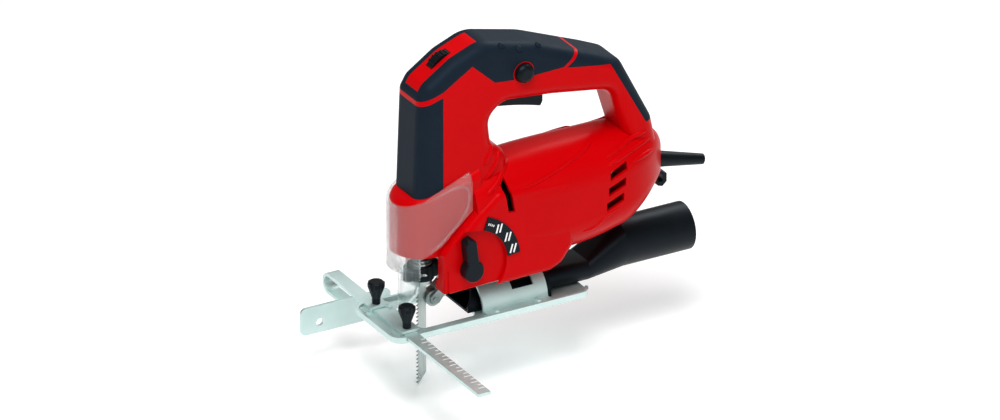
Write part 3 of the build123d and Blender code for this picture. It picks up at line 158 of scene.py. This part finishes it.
def add_relief(material, shader, factor, strength, depth):
    """Let a factor raise the surface by up to a depth in metres."""
    settings = {"Strength": strength, "Distance": depth}
    bump = add_node(material, "ShaderNodeBump", settings, [("Height", factor)])
    material.node_tree.links.new(bump.outputs["Normal"], shader.inputs["Normal"])


def dress(material, names):
    """Give nodes this material in place of their own."""
    for name in names:
        nodes[name].data.materials.clear()
        nodes[name].data.materials.append(material)


red_abs, shader, place = new_finish(
    "moulded red ABS", {"IOR": 1.5, "Specular IOR Level": 0.12, "Specular Tint": linear("#FF9090")}
)
grain_size = 0.0011
tint = add_noise(red_abs, place, 30.0, 2.0)
grain = add_noise(red_abs, place, 1 / grain_size, 3.0)
blend_colour(red_abs, shader, tint, "#B80004", "#C40006")
blend_roughness(red_abs, shader, grain, 0.27, 0.41)
add_relief(red_abs, shader, grain, 0.12, 0.0002)
dress(red_abs, ("housing_left", "housing_right", "dial_strip"))

# Grip covers: soft thermoplastic rubber moulded over the front post, the handle and the rear post.
# It is a dark blue-grey with a dry, fine grain and a broad dull sheen.
grip_rubber, shader, place = new_finish(
    "overmoulded soft grip rubber",
    {"IOR": 1.5, "Specular IOR Level": 0.1, "Specular Tint": linear("#A9C4E0")},
)
pebble_size = 0.0013
cloud = add_noise(grip_rubber, place, 45.0, 3.0)
pebbles = add_node(grip_rubber, "ShaderNodeTexVoronoi", {"Scale": 1 / pebble_size}, [("Vector", place)])
blend_colour(grip_rubber, shader, cloud, "#101922", "#18232E")
blend_roughness(grip_rubber, shader, cloud, 0.46, 0.6)
add_relief(grip_rubber, shader, pebbles.outputs["Distance"], 0.18, 0.0002)
dress(grip_rubber, ("front_grip_pad", "top_grip", "rear_grip"))

# Grip dots: three small raised domes moulded into the left flank of the handle's grip,
# where the palm rests. They are of the same rubber as the cover under them.
def add_piece(name, shape, material, body, smooth=True):
    """Make a finished shape an object in place, with its material, and let it ride on a body."""
    mesh = bpy.data.meshes.new(name)
    bmesh.ops.recalc_face_normals(shape, faces=shape.faces)
    shape.to_mesh(mesh)
    shape.free()
    mesh.materials.append(material)
    for face in mesh.polygons:
        face.use_smooth = smooth
    piece = bpy.data.objects.new(name, mesh)
    bpy.context.scene.collection.objects.link(piece)
    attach(piece, body)


dot_radius = 0.0026
dot_flatness = 0.7
flank_start = 0.1
dots = bmesh.new()
for x, z in ((0.0560, 0.2034), (0.0690, 0.1986), (0.0860, 0.1965)):
    start = Vector((x, -flank_start, z))
    hit, point, normal, face = nodes["top_grip"].ray_cast(start, Vector((0, 1, 0)))
    turn = normal.to_track_quat("Z", "Y").to_matrix().to_4x4()
    dome = bmesh.ops.create_icosphere(dots, subdivisions=3, radius=dot_radius)["verts"]
    bmesh.ops.scale(dots, verts=dome, vec=(1, 1, dot_flatness))
    bmesh.ops.transform(dots, verts=dome, matrix=Matrix.Translation(point) @ turn)
add_piece("grip_dots", dots, grip_rubber, "housing")

# Moulded ridges: raised folds on both flanks of the red housing, part of the moulding itself.
# Three sweep round the foot of the front post, three run back over the rear end, and two thin ones
# edge the barrel above and below.
def lay_ridge(shape, node, points, side, half_width, height):
    """A tube with drawn-out ends, laid on a node's flank through (X, Z) points in millimetres."""
    steps, path_rounds, seat_rounds = 8, 6, 12
    tip_share, taper_step, sunk_share = 0.12, 0.16, 0.3
    path = []
    for (x0, z0), (x1, z1) in zip(points, points[1:]):
        for step in range(steps):
            share = step / steps
            path.append((x0 + share * (x1 - x0), z0 + share * (z1 - z0)))
    path.append(points[-1])
    for smoothing in range(path_rounds):
        inner = [
            tuple((a + 2 * b + c) / 4 for a, b, c in zip(path[i - 1], path[i], path[i + 1]))
            for i in range(1, len(path) - 1)
        ]
        path = [path[0]] + inner + [path[-1]]
    seats, leans = [], []
    for x, z in path:
        start = Vector((x / 1000, side * flank_start, z / 1000))
        hit, point, normal, face = node.ray_cast(start, Vector((0, -side, 0)))
        if hit:
            seats.append(point)
            leans.append(normal)
    last = len(seats) - 1
    for smoothing in range(seat_rounds):
        seats = [
            (seats[max(i - 1, 0)] + 2 * seats[i] + seats[min(i + 1, last)]) / 4 for i in range(last + 1)
        ]
        leans = [
            (leans[max(i - 1, 0)] + 2 * leans[i] + leans[min(i + 1, last)]).normalized()
            for i in range(last + 1)
        ]
    open_end = []
    for i, (point, normal) in enumerate(zip(seats, leans)):
        along = (seats[min(i + 1, last)] - seats[max(i - 1, 0)]).normalized()
        across = along.cross(normal).normalized()
        taper = min(1.0, tip_share + taper_step * min(i, last - i))
        centre = point - sunk_share * taper * height * normal
        turn = Matrix((
            (*(taper * half_width * across), 0),
            (*(taper * height * normal), 0),
            (*along, 0),
            (*centre, 1),
        )).transposed()
        ring = bmesh.ops.create_circle(
            shape, cap_ends=i in (0, last), segments=12, radius=1.0, matrix=turn
        )["verts"]
        edges = list({edge for vert in ring for edge in vert.link_edges})
        if open_end:
            bmesh.ops.bridge_loops(shape, edges=open_end + edges)
        open_end = edges


fold_lines = (
    ((65.6, 112.3), (58.1, 109.7), (48.5, 102.7), (42.2, 99), (36.5, 95.6)),
    ((54.6, 124.5), (53.5, 121.9), (50.5, 116.5), (45.8, 109.6), (38.9, 103.8)),
    ((46.3, 131), (46.9, 127.7), (44.9, 124.1), (42.3, 119.6), (39.2, 115.8)),
    ((173.9, 113.2), (163.5, 110.3), (147.6, 106), (131.4, 101.2)),
    ((177, 105.9), (163.1, 104.4), (146.8, 100.9), (131.5, 96.3)),
    ((178.8, 97.4), (166, 97.5), (151.6, 94.8)),
)
edge_lines = (
    ((129, 112), (125, 110.1), (115.8, 107.3), (101.5, 104), (84.5, 99.7), (62, 95.3)),
    ((110, 51), (125, 52.6), (129.1, 58), (145.3, 65.2)),
)
fold_half_width, fold_height = 0.0021, 0.0017
edge_half_width, edge_height = 0.0011, 0.0014
ridges = bmesh.new()
for name, side in (("housing_left", -1), ("housing_right", 1)):
    for line in fold_lines:
        lay_ridge(ridges, nodes[name], line, side, fold_half_width, fold_height)
    for line in edge_lines:
        lay_ridge(ridges, nodes[name], line, side, edge_half_width, edge_height)
add_piece("moulded_ridges", ridges, red_abs, "housing")

# Controls and black fittings: trigger, lock button, dial, selector, thumb screws, release ring, hook
# and dust adapter, all moulded in glass-filled nylon. It is a deep black with a faint, uneven satin.
black_nylon, shader, place = new_finish(
    "moulded black nylon", {"IOR": 1.53, "Specular IOR Level": 0.2, "Specular Tint": linear("#B4CCE0")}
)
grain_size = 0.0010
cloud = add_noise(black_nylon, place, 60.0, 4.0)
grain = add_noise(black_nylon, place, 1 / grain_size, 2.0)
blend_colour(black_nylon, shader, cloud, "#06080A", "#0C0F12")
blend_roughness(black_nylon, shader, cloud, 0.34, 0.5)
add_relief(black_nylon, shader, grain, 0.15, 0.0002)
dress(black_nylon, (
    "trigger", "lock_button", "speed_dial", "selector_lever", "selector_plate", "thumb_screw_left",
    "thumb_screw_right", "clamp_ring", "key_hook", "dust_adapter", "cord_sleeve", "switch_block",
    "control_board", "fan", "brush_holders", "carbon_brushes",
))

# Selector marks: three pairs of slanted strokes for the stages and a row of ticks for straight
# cutting, printed in white ink on the black arc plate beside the lever.
white_ink, shader, place = new_finish("printed white ink", {"Roughness": 0.55})
wear_size = 0.0015
wear = add_noise(white_ink, place, 1 / wear_size, 2.0)
blend_colour(white_ink, shader, wear, "#D8D8D6", "#FFFFFF")
plate_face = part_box("selector_plate")[0].y
arc_x, arc_z, arc_radius = 0.023, 0.0455, 0.0342
stroke_lean = 74.0
stroke_gap = 0.0014
ink_relief = 0.0002
strokes = [
    (angle, shift, 0.0068, 0.0012, stroke_lean)
    for angle in (50, 32, 14) for shift in (-stroke_gap, stroke_gap)
]
strokes += [(angle, 0.0, 0.0016, 0.0007, angle) for angle in (59, 61.5, 64, 66.5)]
marks = bmesh.new()
for angle, shift, length, width, slant in strokes:
    stroke = bmesh.ops.create_cube(marks, size=1.0)["verts"]
    bmesh.ops.scale(marks, verts=stroke, vec=(length, ink_relief, width))
    bmesh.ops.rotate(marks, verts=stroke, matrix=Matrix.Rotation(-radians(slant), 3, "Y"))
    stroke_x = arc_x + shift + arc_radius * cos(radians(angle))
    stroke_z = arc_z + arc_radius * sin(radians(angle))
    bmesh.ops.translate(marks, verts=stroke, vec=(stroke_x, plate_face, stroke_z))
add_piece("selector_marks", marks, white_ink, "housing", smooth=False)

# Sole, saddle, bridges and rip guide: pressed and zinc-plated sheet steel.
# The plating is bright and cool, with cloudy patches and fine rolling lines along the tool.
def add_streaks(material, place, per_metre, detail):
    """Noise drawn out along one axis, with so many streaks per metre along X, Y and Z, as a factor."""
    stretch = add_node(material, "ShaderNodeMapping", {"Scale": per_metre}, [("Vector", place)])
    return add_noise(material, stretch.outputs["Vector"], 1.0, detail)


zinc_steel, shader, place = new_finish("zinc-plated sheet steel", {"Metallic": 0.9})
line_width = 0.0012
cloud = add_noise(zinc_steel, place, 55.0, 4.0)
rolled = add_streaks(zinc_steel, place, (60.0, 1 / line_width, 1 / line_width), 3.0)
blend_colour(zinc_steel, shader, cloud, "#BED6D3", "#E0F1EF")
blend_roughness(zinc_steel, shader, cloud, 0.48, 0.62)
add_relief(zinc_steel, shader, rolled, 0.08, 0.0002)
dress(zinc_steel, (
    "base_plate", "bevel_saddle", "saddle_rivets", "guide_bridges", "rip_guide", "bevel_clamp_plate",
))

# Rip guide scale: ticks every five millimetres with a longer one every second tick,
# printed in the same white ink along the bar's near half.
bar_top = 0.0047
bar_edge = -0.0187
first_tick = -0.124
tick_pitch = 0.005
tick_width, tick_relief = 0.0008, 0.0001
scale_marks = bmesh.new()
for tick in range(18):
    reach = 0.0052 if tick % 2 == 0 else 0.003
    mark = bmesh.ops.create_cube(scale_marks, size=1.0)["verts"]
    bmesh.ops.scale(scale_marks, verts=mark, vec=(reach, tick_width, tick_relief))
    tick_place = (bar_edge - reach / 2, first_tick + tick_pitch * tick, bar_top)
    bmesh.ops.translate(scale_marks, verts=mark, vec=tick_place)
add_piece("guide_scale_marks", scale_marks, white_ink, "rip_guide", smooth=False)

# Blade, clamp, roller, arm, plunger, gear and shafts: hardened and ground tool steel.
# Grinding leaves fine lines along the blade and a darker, sharper shine than the plating.
tool_steel, shader, place = new_finish("ground tool steel", {"Metallic": 1.0})
line_width = 0.0009
lines = add_streaks(tool_steel, place, (1 / line_width, 1 / line_width, 40.0), 4.0)
blend_colour(tool_steel, shader, lines, "#8C9694", "#BCC6C4")
blend_roughness(tool_steel, shader, lines, 0.22, 0.4)
add_relief(tool_steel, shader, lines, 0.1, 0.0002)
dress(tool_steel, (
    "saw_blade", "clamp_body", "clamp_collar", "plunger", "guide_roller", "roller_pin", "arm_pivot_pin",
    "roller_arm", "drive_gear", "gear_axle", "armature_shaft", "front_bearing", "rear_bearing",
    "selector_shaft", "dial_axle", "bevel_screw", "housing_screws", "armature_core", "stator_core",
))

# Gear case: die-cast aluminium, left as cast, with a coarse, dull grain.
# It shows only under the skirt, round the plunger and over the saddle.
cast_alloy, shader, place = new_finish("die-cast aluminium", {"Metallic": 1.0})
grain_size = 0.0016
grain = add_noise(cast_alloy, place, 1 / grain_size, 4.0)
blend_colour(cast_alloy, shader, grain, "#8E9290", "#B4B8B6")
blend_roughness(cast_alloy, shader, grain, 0.45, 0.65)
add_relief(cast_alloy, shader, grain, 0.25, 0.0003)
dress(cast_alloy, ("gear_case",))

# Windings, commutator and bushes: enamelled copper and sintered bronze, sealed inside the housing.
# Fine turns run along the motor and give the copper its narrow, broken shine.
copper, shader, place = new_finish("enamelled copper", {"Metallic": 1.0})
wire_width = 0.0008
turns = add_streaks(copper, place, (30.0, 1 / wire_width, 1 / wire_width), 3.0)
blend_colour(copper, shader, turns, "#8A4B28", "#C47A45")
blend_roughness(copper, shader, turns, 0.25, 0.45)
dress(copper, ("field_coils", "commutator", "lower_bush", "upper_bush"))

# Chip guard: a clear moulded polycarbonate shell that clips round the nose before the blade.
# It is glossy and slightly hazed, with faint flow ripples and a raised rim along its edges.
clear_plastic, shader, place = new_finish(
    "clear polycarbonate", {"Transmission Weight": 0.88, "IOR": 1.22, "Roughness": 0.05, "Alpha": 0.45}
)
shader.inputs["Base Color"].default_value = linear("#E8F7F7")
ripple_size = 0.012
ripple = add_noise(clear_plastic, place, 1 / ripple_size, 1.0)
add_relief(clear_plastic, shader, ripple, 0.06, 0.001)
dress(clear_plastic, ("clear_guard",))
rim_line = ((-16, 95.3), (26.6, 112.6), (26.6, 87.4), (4.5, 67.2), (-10, 58.4))
rim_half_width, rim_height = 0.0009, 0.0009
rim = bmesh.new()
for side in (-1, 1):
    lay_ridge(rim, nodes["clear_guard"], rim_line, side, rim_half_width, rim_height)
add_piece("guard_rim", rim, clear_plastic, "guard")
